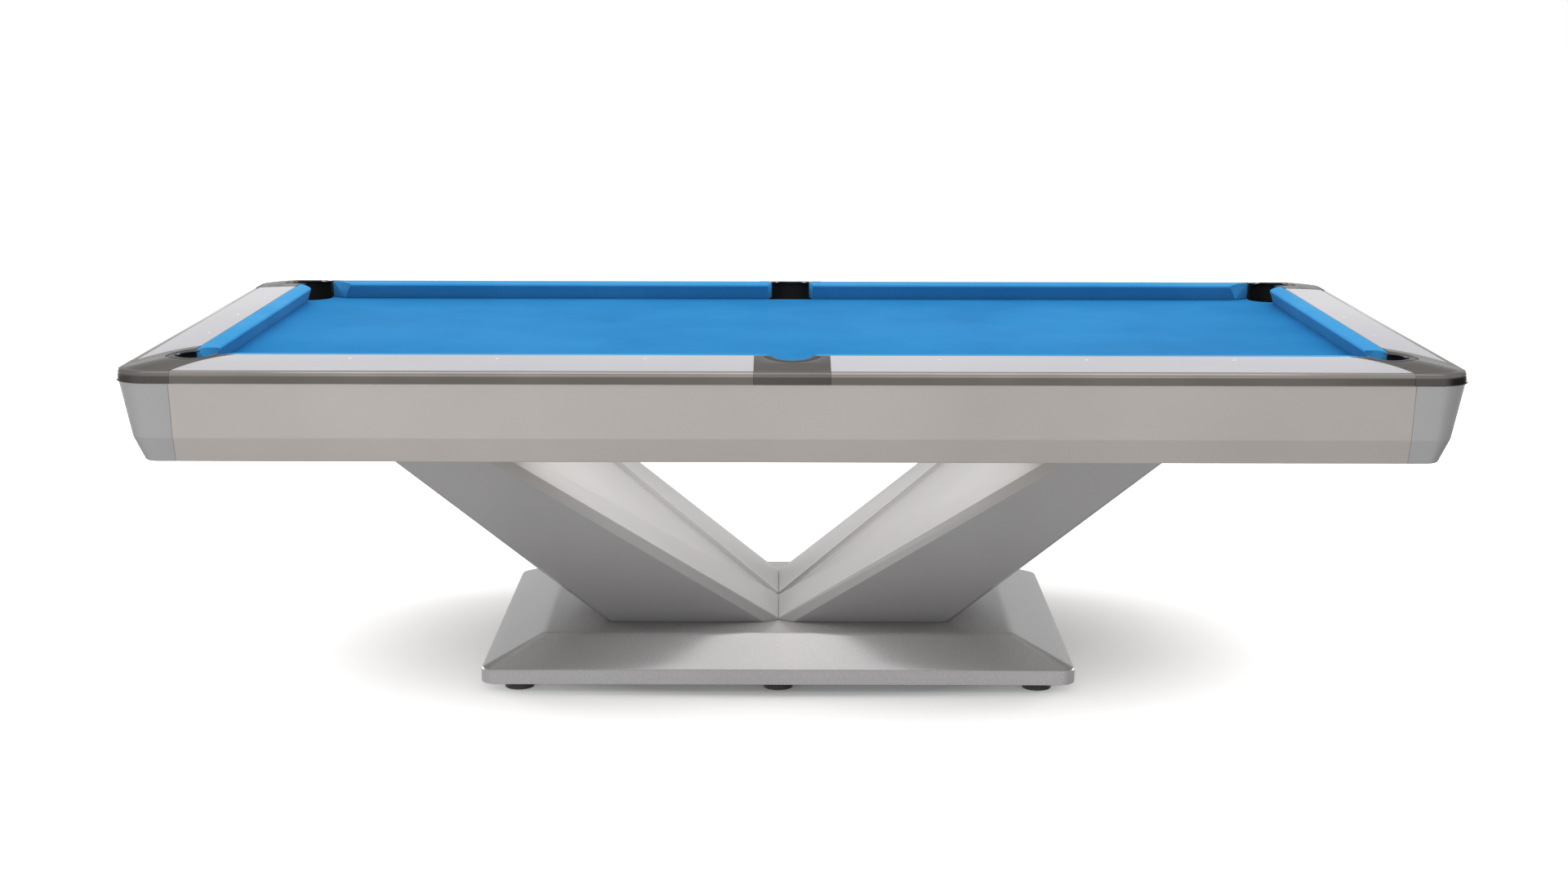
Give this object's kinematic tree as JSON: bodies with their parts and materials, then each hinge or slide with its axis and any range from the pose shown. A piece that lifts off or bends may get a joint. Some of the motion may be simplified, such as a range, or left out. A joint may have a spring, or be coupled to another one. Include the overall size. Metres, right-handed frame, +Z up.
{
  "type": "pool table",
  "caption": "Pool table with a slate bed, blue cloth, rails with cushions, drop pockets and a creased grey apron on a V-shaped pedestal with levelling feet.",
  "frame": {"origin": "on the floor, under the middle of the table top's outline", "axes": "+X along the table's length, +Y across it, +Z up; the front long side faces -Y"},
  "size_m": [2.896, 1.626, 0.813],
  "materials": {
    "slate": "honed slate",
    "cloth": "napped wool cloth",
    "cushion": "rubber cushion covered in blue cloth",
    "laminate": "satin laminate over timber",
    "metal": "satin cast and extruded aluminium",
    "liner": "moulded black rubber",
    "apron": "silver-grey lacquered board",
    "apron_corner": "silver-grey lacquered moulding",
    "timber": "planed timber",
    "lacquer": "satin grey lacquered board",
    "steel": "plain steel plate",
    "pad": "dark grey coated steel foot",
    "stud": "zinc-plated threaded stud"
  },
  "bodies": {
    "table": {"slate_left": "slate", "slate_centre": "slate", "slate_right": "slate", "bed_cloth": "cloth", "cushion_front_left": "cushion", "cushion_front_right": "cushion", "cushion_back_left": "cushion", "cushion_back_right": "cushion", "cushion_left": "cushion", "cushion_right": "cushion", "rail_front_left": "laminate", "rail_front_right": "laminate", "rail_back_left": "laminate", "rail_back_right": "laminate", "rail_left": "laminate", "rail_right": "laminate", "trim_front_left": "metal", "trim_front_right": "metal", "trim_back_left": "metal", "trim_back_right": "metal", "trim_left": "metal", "trim_right": "metal", "casting_front_left": "metal", "casting_front_right": "metal", "casting_back_left": "metal", "casting_back_right": "metal", "casting_side_front": "metal", "casting_side_back": "metal", "liner_front_left": "liner", "liner_front_right": "liner", "liner_back_left": "liner", "liner_back_right": "liner", "liner_side_front": "liner", "liner_side_back": "liner", "apron_front": "apron", "apron_back": "apron", "apron_left": "apron", "apron_right": "apron", "apron_corner_front_left": "apron_corner", "apron_corner_front_right": "apron_corner", "apron_corner_back_left": "apron_corner", "apron_corner_back_right": "apron_corner", "cabinet_frame": "timber", "leg_left": "lacquer", "leg_right": "lacquer", "plinth": "lacquer", "plinth_plate": "steel"},
    "pad front_left": {"foot_pad_front_left": "pad"},
    "stud front_left": {"foot_stud_front_left": "stud"},
    "pad front_centre": {"foot_pad_front_centre": "pad"},
    "stud front_centre": {"foot_stud_front_centre": "stud"},
    "pad front_right": {"foot_pad_front_right": "pad"},
    "stud front_right": {"foot_stud_front_right": "stud"},
    "pad back_left": {"foot_pad_back_left": "pad"},
    "stud back_left": {"foot_stud_back_left": "stud"},
    "pad back_centre": {"foot_pad_back_centre": "pad"},
    "stud back_centre": {"foot_stud_back_centre": "stud"},
    "pad back_right": {"foot_pad_back_right": "pad"},
    "stud back_right": {"foot_stud_back_right": "stud"}
  },
  "joints": [
    {"name": "travel front_left", "type": "slide", "parent": "table", "child": "pad front_left", "axis": [0, 0, -1], "range_m": [0, 0.01]},
    {"name": "turn front_left", "type": "hinge", "parent": "pad front_left", "child": "stud front_left", "pos_m": [-0.6288, -0.4314, 0.03], "axis": [0, 0, 1], "range_deg": [0, 1800]},
    {"name": "travel front_centre", "type": "slide", "parent": "table", "child": "pad front_centre", "axis": [0, 0, -1], "range_m": [0, 0.01]},
    {"name": "turn front_centre", "type": "hinge", "parent": "pad front_centre", "child": "stud front_centre", "pos_m": [-0.0293, -0.4314, 0.03], "axis": [0, 0, 1], "range_deg": [0, 1800]},
    {"name": "travel front_right", "type": "slide", "parent": "table", "child": "pad front_right", "axis": [0, 0, -1], "range_m": [0, 0.01]},
    {"name": "turn front_right", "type": "hinge", "parent": "pad front_right", "child": "stud front_right", "pos_m": [0.5702, -0.4314, 0.03], "axis": [0, 0, 1], "range_deg": [0, 1800]},
    {"name": "travel back_left", "type": "slide", "parent": "table", "child": "pad back_left", "axis": [0, 0, -1], "range_m": [0, 0.01]},
    {"name": "turn back_left", "type": "hinge", "parent": "pad back_left", "child": "stud back_left", "pos_m": [-0.6288, 0.4314, 0.03], "axis": [0, 0, 1], "range_deg": [0, 1800]},
    {"name": "travel back_centre", "type": "slide", "parent": "table", "child": "pad back_centre", "axis": [0, 0, -1], "range_m": [0, 0.01]},
    {"name": "turn back_centre", "type": "hinge", "parent": "pad back_centre", "child": "stud back_centre", "pos_m": [-0.0293, 0.4314, 0.03], "axis": [0, 0, 1], "range_deg": [0, 1800]},
    {"name": "travel back_right", "type": "slide", "parent": "table", "child": "pad back_right", "axis": [0, 0, -1], "range_m": [0, 0.01]},
    {"name": "turn back_right", "type": "hinge", "parent": "pad back_right", "child": "stud back_right", "pos_m": [0.5702, 0.4314, 0.03], "axis": [0, 0, 1], "range_deg": [0, 1800]}
  ],
  "couplings": [
    {"joint": "turn front_left", "follows": "travel front_left", "rad_per_m": 3141.6},
    {"joint": "turn front_centre", "follows": "travel front_centre", "rad_per_m": 3141.6},
    {"joint": "turn front_right", "follows": "travel front_right", "rad_per_m": 3141.6},
    {"joint": "turn back_left", "follows": "travel back_left", "rad_per_m": 3141.6},
    {"joint": "turn back_centre", "follows": "travel back_centre", "rad_per_m": 3141.6},
    {"joint": "turn back_right", "follows": "travel back_right", "rad_per_m": 3141.6}
  ]
}
